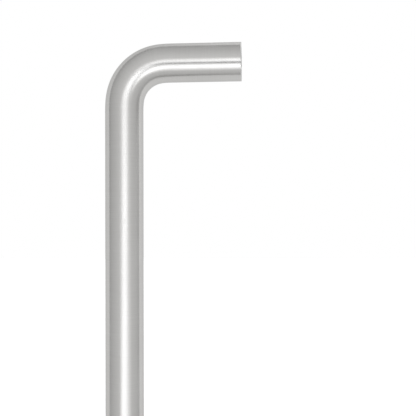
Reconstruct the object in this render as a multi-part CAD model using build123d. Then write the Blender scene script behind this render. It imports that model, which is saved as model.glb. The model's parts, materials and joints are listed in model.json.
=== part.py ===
"""D-shaped door pull handle, bent from one length of round stainless bar.

The bar runs out from the door as the upper leg, turns down through a quarter bend into
the grip, and turns back through a second quarter bend into the lower leg. Each leg ends
square on the door face, with its rim broken and a tapped blind hole on its centre line,
so that the handle is held by two bolts that come through the door from the far side.

Frame, in millimetres: the door face is the plane Y = 0 and the door lies beyond it, at
+Y. The handle stands out from it along -Y. +Z is up along the grip, and the origin is on
the door face, midway between the two tapped holes.
"""

import os
from math import radians, tan

from build123d import *

# The bar and its two bends
BAR_DIAMETER = 19.0
FIXING_CENTRES = 300.0  # between the centre lines of the two legs
PROJECTION = 68.0  # from the door face to the outside of the grip
INSIDE_BEND_RADIUS = 11.0  # from a bend's centre to the hollow side of the bar
RIM_BREAK = 0.15  # chamfer on the outer edge of each leg's end

# The tapped hole in each leg
THREAD_DIAMETER = 8.0
TAP_DRILL_DIAMETER = 6.8
DRILL_DEPTH = 25.0  # from the door face to the shoulder of the drill's point
DRILL_POINT_ANGLE = 118.0
COUNTERSINK_MARGIN = 0.2  # how far the countersink's mouth stands outside the thread
COUNTERSINK_ANGLE = 120.0

# Worked out from the sizes above
BAR_RADIUS = BAR_DIAMETER / 2
GRIP_REACH = PROJECTION - BAR_RADIUS  # from the door face to the grip's centre line
BEND_RADIUS = INSIDE_BEND_RADIUS + BAR_RADIUS  # of the bar's centre line
LEG_HEIGHT = FIXING_CENTRES / 2  # of each leg above or below the origin


def centre_line():
    """The line that the bar follows: leg, bend, grip, bend and leg, in the plane X = 0."""
    return FilletPolyline(
        (0, 0, LEG_HEIGHT),
        (0, -GRIP_REACH, LEG_HEIGHT),
        (0, -GRIP_REACH, -LEG_HEIGHT),
        (0, 0, -LEG_HEIGHT),
        radius=BEND_RADIUS,
    )


def bent_bar():
    """The round bar, carried along its centre line, with the rim of each end broken."""
    path = centre_line()
    section = Plane(origin=path @ 0, z_dir=path % 0) * Circle(BAR_RADIUS)
    bar = sweep(section, path=path)
    rims = bar.edges().filter_by(GeomType.CIRCLE).group_by(Axis.Y)[-1]
    return chamfer(rims, RIM_BREAK)


def drilled_space():
    """What the drill and the countersink take out of a leg, along -Y from the origin."""
    drill = TAP_DRILL_DIAMETER / 2
    mouth = THREAD_DIAMETER / 2 + COUNTERSINK_MARGIN
    countersink_depth = (mouth - drill) / tan(radians(COUNTERSINK_ANGLE / 2))
    point_length = drill / tan(radians(DRILL_POINT_ANGLE / 2))
    half_section = make_face(
        Polyline(
            (0, 0),
            (mouth, 0),
            (drill, -countersink_depth),
            (drill, -DRILL_DEPTH),
            (0, -DRILL_DEPTH - point_length),
            close=True,
        )
    )
    return revolve(half_section, axis=Axis.Y)


def pull_handle():
    """The whole handle: the bent bar, drilled up the centre of both legs."""
    handle = bent_bar()
    for height in (-LEG_HEIGHT, LEG_HEIGHT):
        handle -= Pos(0, 0, height) * drilled_space()
    return handle


os.makedirs("parts", exist_ok=True)
export_step(pull_handle(), "parts/pull_handle.step")
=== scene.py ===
"""A D-shaped door pull handle in satin stainless steel, on a plain pale floor.

The handle is one length of round bar: a leg, a quarter bend, the grip, a second quarter
bend and a second leg. Its skin is one closed surface, a profile carried along the bar's
own centre line: it starts at the point of the drilled hole in the upper leg, comes out
through the thread, the countersink and the square end, follows the whole bar, and goes
back down the lower leg's hole in the same way. The bar has a fine satin grain that runs
round it, so light spreads along it, the square ends have the rings of a facing tool, and
the threads are bright.

Lengths are in metres. The door face is the plane Y = 0, the handle stands out along -Y,
and Z is up along the grip.
"""

import json
import logging
from dataclasses import dataclass, field
from enum import IntEnum
from math import cos, pi, radians, sin, sqrt, tan

import bpy
import numpy as np
from mathutils import Matrix, Vector


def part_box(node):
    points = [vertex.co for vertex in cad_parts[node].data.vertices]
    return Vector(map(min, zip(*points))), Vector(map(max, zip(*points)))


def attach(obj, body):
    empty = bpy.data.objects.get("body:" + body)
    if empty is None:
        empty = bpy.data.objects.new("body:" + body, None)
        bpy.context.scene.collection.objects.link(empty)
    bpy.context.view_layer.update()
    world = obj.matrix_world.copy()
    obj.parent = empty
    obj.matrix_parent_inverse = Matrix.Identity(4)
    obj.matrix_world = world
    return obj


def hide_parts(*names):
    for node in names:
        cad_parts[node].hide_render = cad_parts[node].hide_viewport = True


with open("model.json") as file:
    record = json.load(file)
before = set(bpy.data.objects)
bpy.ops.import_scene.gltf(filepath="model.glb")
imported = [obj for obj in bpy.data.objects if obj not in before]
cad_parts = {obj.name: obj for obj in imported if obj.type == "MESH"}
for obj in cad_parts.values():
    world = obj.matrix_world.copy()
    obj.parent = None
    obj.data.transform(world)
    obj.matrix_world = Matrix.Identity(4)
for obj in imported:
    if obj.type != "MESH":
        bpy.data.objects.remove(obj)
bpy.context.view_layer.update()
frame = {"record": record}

log = logging.getLogger("pull_handle")

MILLIMETRE = 0.001
QUARTER_TURN = 0.25  # as a share of a whole turn
INSIDE_BEND_RADIUS = 11.0 * MILLIMETRE  # from a bend's centre to the hollow side of the bar
NOISE_SPAN = (0.3, 0.7)  # where most values of a noise lie
WHITE = (1.0, 1.0, 1.0, 1.0)


class Zone(IntEnum):
    """Which finish a stretch of the skin has, as the number of its material slot."""

    BAR = 0
    TURNED_FACE = 1
    CUT_THREAD = 2


@dataclass(frozen=True)
class Value:
    """A number that varies over a surface: one output socket, with Python's operators.

    Args:
        socket: The output that holds the number.
        graph: The node graph that new nodes go into.
    """

    socket: bpy.types.NodeSocket
    graph: "Graph"

    def _maths(self, operation: str, *terms: "Value | float") -> "Value":
        """Adds one Math node that works on the given terms."""
        node = self.graph.node("ShaderNodeMath", {"operation": operation}, dict(enumerate(terms)))
        return Value(node.outputs[0], self.graph)

    def __add__(self, other: "Value | float") -> "Value":
        """self + other."""
        return self._maths("ADD", self, other)

    def __radd__(self, other: float) -> "Value":
        """other + self."""
        return self._maths("ADD", other, self)

    def __sub__(self, other: "Value | float") -> "Value":
        """self - other."""
        return self._maths("SUBTRACT", self, other)

    def __rsub__(self, other: float) -> "Value":
        """other - self."""
        return self._maths("SUBTRACT", other, self)

    def __mul__(self, other: "Value | float") -> "Value":
        """self * other."""
        return self._maths("MULTIPLY", self, other)

    def __rmul__(self, other: float) -> "Value":
        """other * self."""
        return self._maths("MULTIPLY", other, self)

    def __truediv__(self, other: "Value | float") -> "Value":
        """self / other."""
        return self._maths("DIVIDE", self, other)

    def __pow__(self, other: float) -> "Value":
        """self ** other."""
        return self._maths("POWER", self, other)

    def at_least(self, other: "Value | float") -> "Value":
        """The larger of the two."""
        return self._maths("MAXIMUM", self, other)

    def bearing(self, other: "Value") -> "Value":
        """The angle whose tangent is self / other, in radians, over the full circle."""
        return self._maths("ARCTAN2", self, other)

    def sine(self) -> "Value":
        """The sine of self, in radians."""
        return self._maths("SINE", self)

    def arcsine(self) -> "Value":
        """The angle whose sine is self, in radians."""
        return self._maths("ARCSINE", self)

    def exponential(self) -> "Value":
        """The exponential of self."""
        return self._maths("EXPONENT", self)

    def step(self, low: float, high: float) -> "Value":
        """A smooth step, with an S curve between its two ends.

        Args:
            low: The number up to which the step is 0.
            high: The number from which on the step is 1.

        Returns:
            The step, from 0 to 1.
        """
        node = self.graph.node(
            "ShaderNodeMapRange",
            {"interpolation_type": "SMOOTHSTEP"},
            {"Value": self, "From Min": low, "From Max": high},
        )
        return Value(node.outputs[0], self.graph)


@dataclass(frozen=True)
class Graph:
    """A node tree that is being filled in.

    Args:
        tree: The node tree of a material or of the world.
    """

    tree: bpy.types.NodeTree

    def node(
        self, kind: str, settings: dict | None = None, sockets: dict | None = None
    ) -> bpy.types.Node:
        """Adds a node.

        Args:
            kind: The node's type, as Blender names it.
            settings: The node's own settings, which are set first.
            sockets: Its inputs by name or number: a Value, an output socket, or a constant.

        Returns:
            The new node.
        """
        node = self.tree.nodes.new(kind)
        for name, setting in (settings or {}).items():
            setattr(node, name, setting)
        for key, content in (sockets or {}).items():
            if isinstance(content, Value):
                content = content.socket
            if isinstance(content, bpy.types.NodeSocket):
                self.tree.links.new(content, node.inputs[key])
            else:
                node.inputs[key].default_value = content
        return node

    def value(
        self, kind: str, output: str, settings: dict | None = None, sockets: dict | None = None
    ) -> Value:
        """Adds a node and wraps one of its outputs, with the arguments of node()."""
        return Value(self.node(kind, settings, sockets).outputs[output], self)

    def split(self, vector: bpy.types.NodeSocket) -> tuple[Value, Value, Value]:
        """The X, Y and Z of a vector."""
        node = self.node("ShaderNodeSeparateXYZ", sockets={"Vector": vector})
        return tuple(Value(output, self) for output in node.outputs)

    def join(self, x: Value, y: Value, z: Value) -> bpy.types.NodeSocket:
        """One vector from its X, Y and Z."""
        return self.node("ShaderNodeCombineXYZ", sockets={"X": x, "Y": y, "Z": z}).outputs["Vector"]

    def noise(self, place: bpy.types.NodeSocket, detail: float = 1.0) -> Value:
        """Smooth noise from 0 to 1 with features about one unit of place across."""
        sockets = {"Vector": place, "Scale": 1.0, "Detail": detail}
        return self.value("ShaderNodeTexNoise", "Fac", {"noise_dimensions": "3D"}, sockets)

    def mix_colours(self, share: Value, first: tuple, second: tuple) -> bpy.types.NodeSocket:
        """Mixes two colours, through the numbered sockets that the Mix node keeps for colours.

        Args:
            share: How much of the second colour there is, from 0 to 1.
            first: A red, green and blue.
            second: A red, green and blue.

        Returns:
            The mixed colour.
        """
        factor, colour_a, colour_b, result = 0, 6, 7, 2
        sockets = {factor: share, colour_a: (*first, 1.0), colour_b: (*second, 1.0)}
        return self.node("ShaderNodeMix", {"data_type": "RGBA"}, sockets).outputs[result]


@dataclass(frozen=True)
class SteelFinish:
    """Bare stainless steel. Each kind of surface says how its tool marks run.

    The marks that are too fine to model as bumps spread light across themselves. That is
    the finish's streak, which runs along the bar because the marks run round it.

    Args:
        name: The material's name.
        light: The colour on the crests of the tool marks and where the polish is best.
        dark: The colour between the marks and where the polish is dull.
        grain: How much of the change of colour follows the marks, the rest being clouds.
        edge_tint: How much of the edge's extra brightness the steel keeps.
        roughness: The mean roughness.
        unevenness: How far the roughness strays from its mean.
        streak: How much longer than wide a reflection is, from 0 to 1.
        cloud_size: The distance over which the polish changes.
        mark_depth: The depth of the tool marks.
    """

    name: str
    light: tuple = (0.606, 0.601, 0.590)
    dark: tuple = (0.546, 0.541, 0.530)
    grain: float = 0.55
    edge_tint: float = 0.72
    roughness: float = 0.20
    unevenness: float = 0.02
    streak: float = 0.0
    cloud_size: float = 17.0 * MILLIMETRE
    mark_depth: float = 0.001 * MILLIMETRE

    def marks(self, graph: Graph, place: bpy.types.NodeSocket) -> Value:
        """The height of the tool marks, from 0 to 1, at a place in the straight bar."""
        raise NotImplementedError

    def cloud(self, graph: Graph, place: bpy.types.NodeSocket) -> Value:
        """The slow change of the polish: a noise as large as the clouds.

        Args:
            graph: The material's nodes.
            place: The place in the straight bar.

        Returns:
            How good the polish is, from 0 to 1.
        """
        x, y, along = graph.split(place)
        spot = graph.join(x / self.cloud_size, y / self.cloud_size, along / self.cloud_size)
        return graph.noise(spot, detail=2.0).step(*NOISE_SPAN)

    def material(self) -> bpy.types.Material:
        """Builds the material.

        Returns:
            A metallic material whose pattern reads the unbent attribute.
        """
        made = bpy.data.materials.new(self.name)
        made.use_nodes = True
        made.node_tree.nodes.clear()
        graph = Graph(made.node_tree)
        place = graph.node("ShaderNodeAttribute", {"attribute_name": "unbent"}).outputs["Vector"]
        cloud = self.cloud(graph, place)
        marks = self.marks(graph, place)
        tone = marks.step(*NOISE_SPAN) * self.grain + cloud * (1 - self.grain)
        bump = graph.node("ShaderNodeBump", sockets={"Distance": self.mark_depth, "Height": marks})
        shader = graph.node(
            "ShaderNodeBsdfPrincipled",
            sockets={
                "Base Color": graph.mix_colours(tone, self.dark, self.light),
                "Metallic": 1.0,
                "Roughness": self.roughness + (cloud - 0.5) * (2 * self.unevenness),
                "Specular Tint": (self.edge_tint,) * 3 + (1.0,),
                "Anisotropic": self.streak,
                "Anisotropic Rotation": QUARTER_TURN,
                "Normal": bump.outputs["Normal"],
            },
        )
        graph.node("ShaderNodeOutputMaterial", sockets={"Surface": shader.outputs[0]})
        return made


@dataclass(frozen=True)
class RoundMarks(SteelFinish):
    """Steel whose fine marks run round the bar or the hole.

    Args:
        mark_pitch: The distance between marks, along the bar.
        mark_length: How long a mark runs round the bar.
    """

    mark_depth: float = 0.006 * MILLIMETRE
    mark_pitch: float = 0.12 * MILLIMETRE
    mark_length: float = 12.0 * MILLIMETRE

    def marks(self, graph: Graph, place: bpy.types.NodeSocket) -> Value:
        """The marks: a noise that is long across the bar's axis and very short along it.

        Args:
            graph: The material's nodes.
            place: The place in the straight bar.

        Returns:
            The height of the marks, from 0 to 1.
        """
        x, y, along = graph.split(place)
        stretched = graph.join(x / self.mark_length, y / self.mark_length, along / self.mark_pitch)
        return graph.noise(stretched)


@dataclass(frozen=True)
class SatinBar(RoundMarks):
    """The bar, with the marks of a polishing belt and the long streaks that they give."""

    name: str = "satin_bar"
    roughness: float = 0.294
    streak: float = 0.978


@dataclass(frozen=True)
class CutThread(RoundMarks):
    """The drilled and tapped hole: bright metal with shorter marks along the cut."""

    name: str = "cut_thread"
    roughness: float = 0.28
    mark_length: float = 3.3 * MILLIMETRE


@dataclass(frozen=True)
class TurnedFace(SteelFinish):
    """The square end of a leg: the fine rings that a facing tool leaves.

    Args:
        ring_pitch: The distance from one ring to the next, outwards.
        blotch_size: The distance round the face over which a ring's depth changes.
        ring_share: How much of the height is even rings, the rest being uneven ones.
    """

    name: str = "turned_face"
    roughness: float = 0.24
    mark_depth: float = 0.008 * MILLIMETRE
    ring_pitch: float = 0.15 * MILLIMETRE
    blotch_size: float = 25.0 * MILLIMETRE
    ring_share: float = 0.5

    def marks(self, graph: Graph, place: bpy.types.NodeSocket) -> Value:
        """The rings about the leg's own axis, some of them deeper than others.

        The even rings are a sine of the radius. The uneven ones are a noise that is short
        along the radius, two ring pitches, and long round the face.

        Args:
            graph: The material's nodes.
            place: The place in the straight bar.

        Returns:
            The height of the rings, from 0 to 1.
        """
        x, y, _along = graph.split(place)
        radius = (x * x + y * y) ** 0.5
        even = (radius * (2 * pi / self.ring_pitch)).sine() * 0.5 + 0.5
        spot = graph.join(radius / (2 * self.ring_pitch), x / self.blotch_size, y / self.blotch_size)
        return even * self.ring_share + graph.noise(spot) * (1 - self.ring_share)


def running_total(rate: np.ndarray, step: float) -> np.ndarray:
    """What a rate adds up to by each sample, from 0 at the first, by the trapezoid rule."""
    return np.concatenate([[0.0], np.cumsum(rate[1:] + rate[:-1]) * step / 2])


@dataclass(frozen=True)
class CentreLine:
    """The line that the bar follows: leg, bend, grip, bend and leg, in the plane X = 0.

    A bar that was bent round a former springs back a little, so each bend eases in and
    out: its curvature grows evenly from none to its full value, and falls back as evenly.

    Args:
        centres: Between the centre lines of the two legs.
        reach: From the door face to the grip's centre line.
        bend: The radius of a bend, to the centre line.
        ease: The length over which the curvature grows, at each end of a bend.
        samples: The number of places at which the line is worked out.
    """

    centres: float
    reach: float
    bend: float
    ease: float = 10.0 * MILLIMETRE
    samples: int = 4001

    @property
    def tightest(self) -> float:
        """The radius in the middle of a bend.

        An ease moves the curve in by ease ** 2 / (24 * bend). The radius is smaller by as
        much as keeps the middle of the bend where a plain arc has it.
        """
        moved = self.ease**2 / (24 * self.bend)
        return self.bend - moved * sqrt(2) / (sqrt(2) - 1)

    @property
    def quarter(self) -> float:
        """The length of one quarter bend, with both of its eases."""
        return self.tightest * pi / 2 + self.ease

    @property
    def side(self) -> float:
        """How far a bend reaches along each of the straights that it joins."""
        places, step = np.linspace(0, self.quarter, self.samples, retstep=True)
        return float(running_total(np.cos(self.bent(places)), step)[-1])

    @property
    def leg(self) -> float:
        """The straight length of a leg."""
        return self.reach - self.side

    @property
    def grip(self) -> float:
        """The straight length of the grip."""
        return self.centres - 2 * self.side

    @property
    def length(self) -> float:
        """The length from one end of the bar to the other."""
        return 2 * self.leg + 2 * self.quarter + self.grip

    def bent(self, along: np.ndarray) -> np.ndarray:
        """The angle that one bend has turned by, at distances from its start.

        Through the first ease the angle is distance ** 2 / (2 * ease), over the tightest
        radius, and after it the angle grows evenly. From the start of the second ease, the
        same growth is taken away again, so that the angle stays at a quarter turn.

        Args:
            along: Distances from the bend's start, of any shape.

        Returns:
            Angles, from 0 before the bend to a quarter turn after it.
        """
        late = along - self.quarter + self.ease
        growth = [
            np.clip(past, 0, self.ease) ** 2 / (2 * self.ease) + np.clip(past - self.ease, 0, None)
            for past in (along, late)
        ]
        return (growth[0] - growth[1]) / self.tightest

    def turn(self, along: np.ndarray) -> np.ndarray:
        """The angle that the whole line has turned by, at distances from its upper end."""
        past_leg = along - self.leg
        return self.bent(past_leg) + self.bent(past_leg - self.quarter - self.grip)

    def at(self, along: np.ndarray) -> tuple[np.ndarray, np.ndarray]:
        """Points on the line, and the direction to the outside of the D there.

        The line runs along (0, -cos(turn), -sin(turn)), so its place is the running total
        of that direction, which is read off at the distances asked for.

        Args:
            along: Distances from the upper end, of any shape.

        Returns:
            Points and outward directions, each of that shape with three numbers more.
        """
        places, step = np.linspace(0, self.length, self.samples, retstep=True)
        turns = self.turn(places)
        y = np.interp(along, places, -running_total(np.cos(turns), step))
        z = self.centres / 2 - np.interp(along, places, running_total(np.sin(turns), step))
        turn = self.turn(along)
        points = np.stack([np.zeros_like(y), y, z], axis=-1)
        outward = np.stack([np.zeros_like(y), -np.sin(turn), np.cos(turn)], axis=-1)
        return points, outward


@dataclass(frozen=True)
class TappedHole:
    """The blind hole up the centre of a leg: drilled, countersunk and tapped.

    Args:
        bore: The radius of the tapping drill.
        wall_start: The depth at which the straight wall starts, below the countersink.
        wall_end: The depth of the shoulder of the drill's point.
        thread: The radius of the thread's root.
        pitch: The thread's pitch.
        threaded: The depth of full thread.
        margin: How far the countersink's mouth stands outside the thread.
        point_angle: The angle of the drill's point.
        flank_angle: The angle between a flank of the groove and the hole's axis.
        root_flat: The width of the groove's flat root, as a share of the pitch.
        steps: Rings for each turn of the thread.
        plain_rings: Rings between the drill's shoulder and the thread.
    """

    bore: float
    wall_start: float
    wall_end: float
    thread: float = 4.0 * MILLIMETRE
    pitch: float = 1.25 * MILLIMETRE
    threaded: float = 20.0 * MILLIMETRE
    margin: float = 0.2 * MILLIMETRE
    point_angle: float = radians(118.0)
    flank_angle: float = radians(60.0)
    root_flat: float = 1 / 8
    steps: int = 12
    plain_rings: int = 4

    @property
    def mouth(self) -> float:
        """The radius of the countersink at the leg's end."""
        return self.thread + self.margin

    @property
    def apex(self) -> float:
        """The depth of the drill's point."""
        return self.wall_end + self.bore / tan(self.point_angle / 2)

    @property
    def run_out(self) -> float:
        """The depth at which the groove has faded out, one pitch below the full thread."""
        return self.threaded + self.pitch

    def depths(self) -> np.ndarray:
        """Places the rings on the way out: a few below the thread, and many through it.

        Returns:
            Depths, from the drill's shoulder to the foot of the countersink.
        """
        count = round(self.run_out / self.pitch * self.steps)
        fine = np.linspace(self.run_out, self.wall_start, count)
        plain = np.linspace(self.wall_end, self.run_out, self.plain_rings, endpoint=False)
        return np.concatenate([plain, fine])

    def radii(self, depth: np.ndarray, angle: np.ndarray) -> np.ndarray:
        """The radius of the cut at each depth and angle.

        A point's turn is its depth in pitches less its angle in whole turns, and its
        distance from the middle of the groove is that turn's distance from a whole
        number. The groove's flanks rise by the tangent of their angle, between a flat
        root and the drilled wall, and the groove fades out over the last pitch.

        Args:
            depth: Depths from the leg's end, one for each ring.
            angle: Angles round the leg.

        Returns:
            Radii, one row for each ring.
        """
        turn = depth[:, None] / self.pitch - angle[None, :] / (2 * pi)
        off_groove = np.abs(turn - np.round(turn)) * self.pitch
        rise = tan(self.flank_angle)
        half_flat = self.pitch * self.root_flat / 2
        full = self.thread - self.bore
        groove = np.clip(full + half_flat * rise - off_groove * rise, 0, full)
        fade = np.clip((self.run_out - depth) / self.pitch, 0, 1)[:, None]
        return self.bore + groove * fade


@dataclass(frozen=True)
class Skin:
    """The rings of the handle's skin, in order from one drill point to the other.

    Args:
        along: Each ring's distance along the bar.
        radii: Its radii, one for each angle round the bar.
        zones: The finish of each band, from one ring to the next.
        sharp: Which rings are sharp edges.
        tips: The distances along the bar of the two drill points.
    """

    along: np.ndarray
    radii: np.ndarray
    zones: np.ndarray
    sharp: np.ndarray
    tips: np.ndarray

    def faces(self) -> list[list[int]]:
        """Joins the rings: four corners between two rings, and a fan of triangles to each tip.

        Ring r holds the points from r * around on, and the two tips come last.

        Returns:
            The points of each face, in the order that makes it face outwards.
        """
        rings, around = self.radii.shape
        ring, place = np.meshgrid(np.arange(rings - 1) * around, np.arange(around), indexing="ij")
        beside = (place + 1) % around
        corners = [ring + place, ring + beside, ring + around + beside, ring + around + place]
        quads = np.stack(corners, axis=-1).reshape(-1, 4)
        spot, after = place[0], beside[0]
        last = (rings - 1) * around
        first_fan = np.stack([np.full(around, rings * around), after, spot], axis=-1)
        last_fan = np.stack([np.full(around, rings * around + 1), last + spot, last + after], axis=-1)
        return quads.tolist() + first_fan.tolist() + last_fan.tolist()

    def slots(self) -> np.ndarray:
        """The material slot of each face: its band's zone, and the thread's for the fans."""
        around = self.radii.shape[1]
        return np.concatenate([np.repeat(self.zones, around), np.full(2 * around, Zone.CUT_THREAD)])

    def sharp_edges(self, ends: np.ndarray) -> np.ndarray:
        """Finds the sharp edges: those that lie along a sharp ring.

        Args:
            ends: The two points of each edge.

        Returns:
            Whether each edge is sharp.
        """
        rings, around = self.radii.shape
        ring = ends // around
        along_ring = (ring[:, 0] == ring[:, 1]) & (ring[:, 0] < rings)
        return along_ring & self.sharp[np.minimum(ring[:, 0], rings - 1)]

    def flat_pattern(self, columns: int = 3, gap: float = 0.02) -> np.ndarray:
        """The skin unrolled: the bar cut into equal lengths that stand side by side.

        The way round the bar runs across a column, and the way along its profile runs up
        it, so that the surface is hardly stretched and its grain has one direction.

        Args:
            columns: How many lengths there are.
            gap: The share of each column that is left clear at its edges.

        Returns:
            The place of each corner of each face, from 0 to 1, in the order of faces().
        """
        around = self.radii.shape[1]
        profile = np.concatenate([[0.0], self.radii.mean(axis=1), [0.0]])
        places = np.concatenate([self.tips[:1], self.along, self.tips[1:]])
        travel = np.concatenate([[0.0], np.cumsum(np.hypot(np.diff(places), np.diff(profile)))])
        column = (travel[:-1] / travel[-1] * columns).astype(int)
        foot = travel[np.searchsorted(column, np.arange(columns))][column]
        height = (travel[1:] - foot).max()
        margin = gap / 2
        low = margin + (1 - gap) * (travel[:-1] - foot) / height
        high = margin + (1 - gap) * (travel[1:] - foot) / height
        turn = np.arange(around)[None, :] / around
        left = (column[:, None] + margin + (1 - gap) * turn) / columns
        right = left + (1 - gap) / around / columns
        low, high = (np.broadcast_to(v[:, None], left.shape) for v in (low, high))
        quads = np.stack([left, low, right, low, right, high, left, high], axis=-1)[1:-1]
        middle = (left + right) / 2
        first_fan = np.stack([middle, low, right, high, left, high], axis=-1)[0]
        last_fan = np.stack([middle, high, left, low, right, low], axis=-1)[-1]
        return np.concatenate([part.ravel() for part in (quads, first_fan, last_fan)])


@dataclass
class PullHandle:
    """The whole handle, as one closed surface.

    Args:
        line: The bar's centre line.
        radius: The bar's radius.
        hole: The tapped hole in each leg.
        rim: The broken edge at each end of the bar.
        around: Points round the bar.
        face_rings: Rings on the square end of a leg.
        leg_rings: Rings along the straight part of a leg.
        bend_rings: Rings in each bend.
        grip_rings: Rings along the straight part of the grip.
        finishes: The finish of each zone.
    """

    line: CentreLine
    radius: float
    hole: TappedHole
    rim: float = 0.15 * MILLIMETRE
    around: int = 128
    face_rings: int = 6
    leg_rings: int = 12
    bend_rings: int = 64
    grip_rings: int = 40
    finishes: dict = field(
        default_factory=lambda: {
            Zone.BAR: SatinBar(),
            Zone.TURNED_FACE: TurnedFace(),
            Zone.CUT_THREAD: CutThread(),
        }
    )

    def angles(self) -> np.ndarray:
        """Angles round the bar, from +X towards the outside of the D."""
        return np.arange(self.around) * (2 * pi / self.around)

    def bar_rings(self) -> np.ndarray:
        """Places the rings along the bar, evenly on each straight and in each bend.

        Returns:
            Distances along the bar, from one broken rim to the other.
        """
        leg, quarter, grip = self.line.leg, self.line.quarter, self.line.grip
        starts = np.cumsum([self.rim, leg - self.rim, quarter, grip, quarter])
        ends = [*starts[1:], self.line.length - self.rim]
        counts = [self.leg_rings, self.bend_rings, self.grip_rings, self.bend_rings, self.leg_rings]
        stretches = [np.linspace(a, b, n, endpoint=False) for a, b, n in zip(starts, ends, counts)]
        return np.concatenate([*stretches, ends[-1:]])

    def skin(self) -> Skin:
        """The rings of the whole skin.

        They go up out of the first hole, out across the square end, along the bar, in
        across the other end and down into the second hole. The second half's end is the
        first's in reverse, at distances taken from the far end of the bar. Its angles are
        reversed too, so that its thread is right-handed as well.

        Returns:
            The skin, with a sharp edge at each hole's shoulder and mouth and at both
            edges of each broken rim.
        """
        depths = self.hole.depths()
        wall = self.hole.radii(depths, self.angles())
        face = np.linspace(self.hole.mouth, self.radius - self.rim, self.face_rings)
        face = np.broadcast_to(face[:, None], (self.face_rings, self.around))
        start = np.concatenate([depths, np.zeros(self.face_rings)])
        radii = np.concatenate([wall, face])
        bar = self.bar_rings()
        reversed_angles = -np.arange(self.around) % self.around
        mouth, edge = len(depths), len(start) - 1
        sharp = np.zeros(2 * len(start) + len(bar), bool)
        for ring in (0, mouth, edge, edge + 1):
            sharp[[ring, -1 - ring]] = True
        zones = [Zone.CUT_THREAD, Zone.TURNED_FACE, Zone.BAR, Zone.TURNED_FACE, Zone.CUT_THREAD]
        bands = [mouth, self.face_rings - 1, len(bar) + 1, self.face_rings - 1, mouth]
        return Skin(
            along=np.concatenate([start, bar, self.line.length - start[::-1]]),
            radii=np.concatenate(
                [radii, np.full((len(bar), self.around), self.radius), radii[::-1, reversed_angles]]
            ),
            zones=np.repeat(zones, bands),
            sharp=sharp,
            tips=np.array([self.hole.apex, self.line.length - self.hole.apex]),
        )

    def points(self, skin: Skin) -> tuple[np.ndarray, np.ndarray]:
        """The skin's points in the bent bar, and the same points in the straight bar.

        A point of the bent bar is the centre line's point, plus its radius times the
        cosine of its angle along X, plus its radius times the sine along the outward
        direction. In the straight bar, the centre line is the Z axis.

        Args:
            skin: The rings.

        Returns:
            Two lists of points, each with the points of all rings and then the two tips.
        """
        across = skin.radii * np.cos(self.angles())
        out = skin.radii * np.sin(self.angles())
        centre, outward = self.line.at(skin.along)
        sideways = np.array([1.0, 0.0, 0.0])
        bent = centre[:, None] + across[..., None] * sideways + out[..., None] * outward[:, None]
        along = np.broadcast_to(skin.along[:, None], across.shape)
        straight = np.stack([across, out, along], axis=-1)
        bent_tips, _outward = self.line.at(skin.tips)
        straight_tips = np.stack([np.zeros(2), np.zeros(2), skin.tips], axis=-1)
        return (
            np.concatenate([bent.reshape(-1, 3), bent_tips]),
            np.concatenate([straight.reshape(-1, 3), straight_tips]),
        )

    def grain(self, mesh: bpy.types.Mesh) -> None:
        """Makes the grain run round the bar everywhere.

        A streaked reflection is laid along the direction (0.5 - v, u - 0.5, 0), put onto
        the surface, where u and v are the first two coordinates of the mesh's texture
        space. A texture space that is very wide in X and far off in Y makes that
        direction the X axis at every point. The bar's centre line lies in the plane
        X = 0, so the X axis put onto the bar's surface runs round the bar, in the bends
        as in the straight parts.

        Args:
            mesh: The handle's mesh.
        """
        far = 1000.0
        mesh.use_auto_texspace = False
        mesh.texspace_location = (0.0, far, 0.0)
        mesh.texspace_size = (far * far, far, 1.0)

    def build(self) -> bpy.types.Object:
        """Makes the handle's mesh and dresses it.

        Returns:
            The handle as one object, with its place in its mesh.
        """
        skin = self.skin()
        bent, straight = self.points(skin)
        mesh = bpy.data.meshes.new("bent_bar")
        mesh.from_pydata(bent, [], skin.faces())
        mesh.polygons.foreach_set("material_index", skin.slots().astype(np.int32))
        mesh.polygons.foreach_set("use_smooth", np.ones(len(mesh.polygons), bool))
        ends = np.empty(2 * len(mesh.edges), np.int32)
        mesh.edges.foreach_get("vertices", ends)
        edges = mesh.attributes.new("sharp_edge", "BOOLEAN", "EDGE")
        edges.data.foreach_set("value", skin.sharp_edges(ends.reshape(-1, 2)))
        unbent = mesh.attributes.new("unbent", "FLOAT_VECTOR", "POINT")
        unbent.data.foreach_set("vector", straight.astype(np.float32).ravel())
        pattern = mesh.uv_layers.new(name="OFBake")
        pattern.uv.foreach_set("vector", skin.flat_pattern().astype(np.float32))
        for zone in Zone:
            mesh.materials.append(self.finishes[zone].material())
        self.grain(mesh)
        mesh.update()
        made = bpy.data.objects.new("bent_bar", mesh)
        bpy.context.scene.collection.objects.link(made)
        return made


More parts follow.
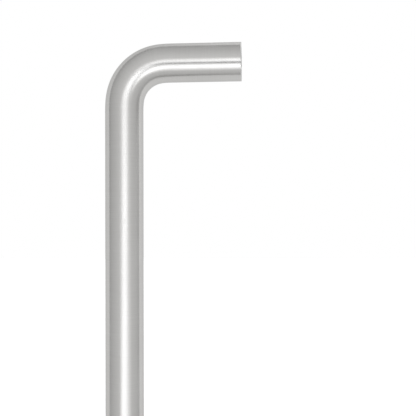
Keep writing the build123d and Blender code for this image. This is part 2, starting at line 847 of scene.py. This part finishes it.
@dataclass
class Floor:
    """The plain pale floor under the handle.

    Args:
        height: The floor's height.
        half_side: Half of its side.
        colour: Its colour.
        glow: What is added to it in the picture, so that it reads as white where it is lit.
    """

    height: float
    half_side: float = 3.0
    colour: tuple = (0.86, 0.86, 0.86, 1.0)
    glow: float = 0.45

    def build(self) -> bpy.types.Object:
        """Makes the floor, which keeps the handle's shadow and is see-through from below.

        Returns:
            The floor's object.
        """
        half = self.half_side
        square = ((-half, -half), (half, -half), (half, half), (-half, half))
        mesh = bpy.data.meshes.new("floor")
        mesh.from_pydata([(x, y, self.height) for x, y in square], [], [(0, 1, 2, 3)])
        made = bpy.data.materials.new("pale_floor")
        made.use_nodes = True
        made.node_tree.nodes.clear()
        graph = Graph(made.node_tree)
        paint = graph.node("ShaderNodeBsdfDiffuse", sockets={"Color": self.colour})
        glow = graph.node("ShaderNodeEmission", sockets={"Color": WHITE, "Strength": self.glow})
        both = graph.node("ShaderNodeAddShader", sockets={0: paint.outputs[0], 1: glow.outputs[0]})
        seen = graph.node("ShaderNodeLightPath").outputs["Is Camera Ray"]
        lit = graph.node(
            "ShaderNodeMixShader", sockets={0: seen, 1: paint.outputs[0], 2: both.outputs[0]}
        )
        clear = graph.node("ShaderNodeBsdfTransparent")
        under = graph.node("ShaderNodeNewGeometry").outputs["Backfacing"]
        shown = graph.node(
            "ShaderNodeMixShader", sockets={0: under, 1: lit.outputs[0], 2: clear.outputs[0]}
        )
        graph.node("ShaderNodeOutputMaterial", sockets={"Surface": shown.outputs[0]})
        mesh.materials.append(made)
        floor = bpy.data.objects.new("floor", mesh)
        floor.visible_glossy = False
        bpy.context.scene.collection.objects.link(floor)
        return floor


@dataclass(frozen=True)
class Direction:
    """A direction from the handle, with its angles in degrees.

    Args:
        x: Its part along X.
        y: Its part along Y.
        z: Its part along Z.
        azimuth: 0 towards +X, growing towards +Y.
        elevation: The angle above the horizon.
    """

    x: Value
    y: Value
    z: Value
    azimuth: Value
    elevation: Value

    @classmethod
    def looked_up(cls, graph: Graph) -> "Direction":
        """The direction that the world is looked up in."""
        x, y, z = graph.split(graph.node("ShaderNodeTexCoord").outputs["Generated"])
        return cls(x, y, z, y.bearing(x) * (180 / pi), z.arcsine() * (180 / pi))

    def facing(self, azimuth: float, elevation: float) -> Value:
        """The cosine of the angle from a fixed direction, given in degrees."""
        turn, lift = radians(azimuth), radians(elevation)
        return self.x * (cos(turn) * cos(lift)) + self.y * (sin(turn) * cos(lift)) + self.z * sin(lift)


@dataclass(frozen=True)
class Seam:
    """A dark seam across the main light, where its two panels meet, bent like a bowl.

    Args:
        azimuth: The place at which its height and slope are given.
        elevation: Its height there.
        slope: How much it rises there, for each degree of azimuth.
        bend: How much more it rises, for the square of each degree.
        half_width: How far from it its darkness reaches.
        depth: How dark it is.
    """

    azimuth: float = -4.5
    elevation: float = -8.0
    slope: float = -1.053
    bend: float = 0.0247
    half_width: float = 10.6
    depth: float = 0.95

    def shade(self, place: Direction) -> Value:
        """Darkens the light round the seam, by a bell curve of the height above or below it.

        Args:
            place: The direction.

        Returns:
            What is left of the light, from 0 to 1.
        """
        across = place.azimuth - self.azimuth
        middle = across * across * self.bend + across * self.slope + self.elevation
        off = (place.elevation - middle) / self.half_width
        return 1.0 - (off * off * -1.0).exponential() * self.depth


@dataclass(frozen=True)
class Softbox:
    """The main light: a large round soft light, in degrees from the handle.

    The disc is cut off by a slanted edge on its -Y side and by a level edge at its top.

    Args:
        azimuth: Where its centre is.
        elevation: Where its centre is.
        radius: Its radius, in degrees of elevation.
        squeeze: Its height, as a share of its width.
        blur: Half of the width of its soft rim.
        radiance: Its brightness.
        colour: Its colour, a little cooler than the room's.
        cut: The azimuth of the slanted edge at the horizon.
        cut_slope: How far that edge moves for each degree of elevation.
        cut_blur: Half of the width of the slanted edge.
        top: The elevation of the level edge.
        top_blur: Half of the width of the level edge.
        seam: The seam between its panels.
    """

    azimuth: float = -2.7
    elevation: float = -12.3
    radius: float = 36.3
    squeeze: float = 0.92
    blur: float = 16.1
    radiance: float = 4.29
    colour: tuple = (0.992, 1.0, 1.019)
    cut: float = -7.9
    cut_slope: float = 0.05
    cut_blur: float = 15.1
    top: float = 5.1
    top_blur: float = 12.0
    seam: Seam = Seam()

    def off_centre(self, place: Direction) -> Value:
        """The angle from the light's centre."""
        across = (place.azimuth - self.azimuth) * self.squeeze
        up = place.elevation - self.elevation
        return (across * across + up * up) ** 0.5

    def past_cut(self, place: Direction) -> Value:
        """How far a direction is inside the slanted edge."""
        return place.azimuth - (place.elevation * self.cut_slope + self.cut)

    def cover(self, place: Direction) -> Value:
        """How much of the light is met in a direction, from 0 to 1."""
        inside = self.radius - self.off_centre(place)
        below = self.top - place.elevation
        return (
            inside.step(-self.blur, self.blur)
            * self.past_cut(place).step(-self.cut_blur, self.cut_blur)
            * below.step(-self.top_blur, self.top_blur)
        )

    def outside(self, place: Direction) -> Value:
        """How far outside the disc or the slanted edge a direction is."""
        beyond = self.off_centre(place) - self.radius
        return beyond.at_least(self.past_cut(place) * -1.0).at_least(0.0)

    def light(self, place: Direction) -> Value:
        """The light's own brightness."""
        return self.seam.shade(place) * self.radiance


@dataclass(frozen=True)
class DarkSpot:
    """A dark oval beside the main light, in degrees from the handle.

    Args:
        azimuth: Where its centre is.
        elevation: Where its centre is.
        half_width: Half of its width.
        half_height: Half of its height.
        depth: How dark it is.
    """

    azimuth: float = -11.9
    elevation: float = -13.4
    half_width: float = 10.8
    half_height: float = 3.19
    depth: float = 1.0

    def shade(self, place: Direction) -> Value:
        """What is left of the light, from 0 to 1: an oval with a flat middle."""
        across = (place.azimuth - self.azimuth) / self.half_width
        up = (place.elevation - self.elevation) / self.half_height
        return 1.0 - (across**4 * -1.0 - up**4).exponential() * self.depth


@dataclass(frozen=True)
class RearLight:
    """A round soft light behind the handle, which lights its far side.

    Args:
        azimuth: Where its centre is.
        elevation: Where its centre is.
        radius: Its radius, in degrees.
        blur: Half of the width of its soft rim, in degrees.
        radiance: Its brightness.
    """

    azimuth: float = 135.0
    elevation: float = 48.0
    radius: float = 20.0
    blur: float = 5.0
    radiance: float = 2.2

    def cover(self, place: Direction) -> Value:
        """How much of the light is met in a direction, from 0 to 1."""
        low = cos(radians(self.radius + self.blur))
        high = cos(radians(self.radius - self.blur))
        return place.facing(self.azimuth, self.elevation).step(low, high)


@dataclass(frozen=True)
class Backdrop:
    """The white backdrop behind the handle, and the shade just in front of its edge.

    Args:
        azimuth: The direction that it faces, in degrees.
        elevation: The direction that it faces, in degrees.
        edge: The cosine, from that direction, at which the backdrop starts.
        edge_blur: Half of the width of its edge.
        gain: How much brighter than the room it is at its edge.
        growth: How much more that grows towards its middle.
        shade: How much darker than the room it is just in front of the edge.
        shade_reach: The cosine over which that fades.
    """

    azimuth: float = 9.8
    elevation: float = 5.6
    edge: float = -0.161
    edge_blur: float = 0.02
    gain: float = 0.298
    growth: float = 0.21
    shade: float = 0.358
    shade_reach: float = 0.09

    def light(self, place: Direction) -> Value:
        """Lights the backdrop, more towards its middle, and shades what is just in front of it.

        Args:
            place: The direction.

        Returns:
            What is added to the room's brightness, which is below 0 in the shade.
        """
        past = self.edge - place.facing(self.azimuth, self.elevation)
        behind = past.step(-self.edge_blur, self.edge_blur)
        in_front = (past * -1.0).at_least(0.0) / -self.shade_reach
        dimming = in_front.exponential() * self.shade
        return behind * (past * self.growth + (dimming + self.gain)) - dimming


@dataclass
class Studio:
    """The light round the handle, as a brightness for each direction.

    Args:
        softbox: The main light.
        spot: The dark spot beside it.
        rear: The light behind the handle.
        backdrop: The backdrop behind the handle.
        room: The brightness of everything else.
        lift: How much brighter the room is overhead than level with the handle. It is
            darker there where this is below 0.
        halo: How much brighter the room is right beside the main light.
        halo_reach: The angle over which that falls off.
    """

    softbox: Softbox = Softbox()
    spot: DarkSpot = DarkSpot()
    rear: RearLight = RearLight()
    backdrop: Backdrop = Backdrop()
    room: float = 0.469
    lift: float = -0.024
    halo: float = 0.529
    halo_reach: float = 70.0

    def brightness(self, place: Direction) -> Value:
        """Adds up the light from a direction, as the handle's metal sees it.

        The room, the halo and the backdrop are added. A lamp takes their place as far as
        it covers them, and the dark spot darkens what comes of that.

        Args:
            place: The direction.

        Returns:
            The brightness, where 1 is white.
        """
        fall = self.softbox.outside(place) / -self.halo_reach
        light = fall.exponential() * self.halo + (place.z * self.lift + self.room)
        light = light + self.backdrop.light(place)
        for lamp, shine in ((self.softbox, self.softbox.light(place)), (self.rear, self.rear.radiance)):
            light = light + lamp.cover(place) * (shine - light)
        return light * self.spot.shade(place)

    def build(self) -> bpy.types.World:
        """Makes the world: white to the camera, and the studio to everything else.

        Returns:
            The world, which the scene now has.
        """
        world = bpy.data.worlds.new("studio")
        world.use_nodes = True
        world.node_tree.nodes.clear()
        graph = Graph(world.node_tree)
        place = Direction.looked_up(graph)
        seen = graph.value("ShaderNodeLightPath", "Is Camera Ray")
        unseen = 1.0 - seen
        strength = self.brightness(place) * unseen + seen
        colour = graph.mix_colours(self.softbox.cover(place) * unseen, WHITE[:3], self.softbox.colour)
        shine = graph.node("ShaderNodeBackground", sockets={"Color": colour, "Strength": strength})
        graph.node("ShaderNodeOutputWorld", sockets={"Surface": shine.outputs[0]})
        bpy.context.scene.world = world
        return world


@dataclass
class ProductCamera:
    """The camera, where the photograph was taken from.

    Args:
        eye: Its place.
        yaw: How far it is turned from looking along -X, towards +Y.
        pitch: How far it looks up.
        roll: How far its right side is raised.
        focal_pixels: The distance of the picture plane, in pixels of the picture.
        picture: The picture's side in pixels.
        sensor: The width of the sensor, in millimetres.
        nearest: The nearest thing that it sees.
        furthest: The furthest thing that it sees.
    """

    eye: tuple = (0.3170, 0.0075, 0.0751)
    yaw: float = radians(-4.37)
    pitch: float = radians(0.52)
    roll: float = radians(-0.16)
    focal_pixels: float = 644.0
    picture: float = 416.0
    sensor: float = 36.0
    nearest: float = 0.01
    furthest: float = 50.0

    def build(self) -> bpy.types.Object:
        """Makes the camera and gives it to the scene.

        Returns:
            The camera's object.
        """
        forward = Vector(
            (-cos(self.yaw) * cos(self.pitch), sin(self.yaw) * cos(self.pitch), sin(self.pitch))
        )
        level = Vector((sin(self.yaw), cos(self.yaw), 0.0))
        upright = level.cross(forward)
        right = cos(self.roll) * level + sin(self.roll) * upright
        up = cos(self.roll) * upright - sin(self.roll) * level
        data = bpy.data.cameras.new("product_camera")
        data.sensor_width = self.sensor
        data.lens = self.focal_pixels / self.picture * self.sensor
        data.clip_start, data.clip_end = self.nearest, self.furthest
        camera = bpy.data.objects.new("product_camera", data)
        turn = Matrix((right, up, -forward)).transposed().to_4x4()
        camera.matrix_world = Matrix.Translation(self.eye) @ turn
        bpy.context.scene.collection.objects.link(camera)
        bpy.context.scene.camera = camera
        return camera


def main() -> None:
    """Builds the handle, the floor, the light and the camera."""
    logging.basicConfig(level=logging.INFO, format="%(message)s")
    mounts = {mount["name"]: mount for mount in frame["record"]["mounts"]}
    pattern = mounts["fixing_holes"]["dims"]
    drilled = mounts["upper_tapped_hole"]
    low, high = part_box("pull_handle")
    centres = pattern["spacing_y_mm"] * MILLIMETRE
    radius = high.z - centres / 2
    line = CentreLine(centres=centres, reach=-low.y - radius, bend=INSIDE_BEND_RADIUS + radius)
    half_wall = drilled["dims"]["length_mm"] * MILLIMETRE / 2
    hole = TappedHole(
        bore=pattern["hole_r_mm"] * MILLIMETRE,
        wall_start=-drilled["pos_m"][1] - half_wall,
        wall_end=-drilled["pos_m"][1] + half_wall,
    )
    handle = PullHandle(line=line, radius=radius, hole=hole).build()
    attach(handle, "root")
    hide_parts("pull_handle")
    log.info("handle: %d faces, bar %.1f mm", len(handle.data.polygons), 2 * radius / MILLIMETRE)
    for made in (Floor(height=low.z).build(), Studio().build(), ProductCamera().build()):
        log.info("%s: made", made.name)
    bpy.context.scene.view_settings.view_transform = "Standard"


if __name__ == "__main__":
    main()
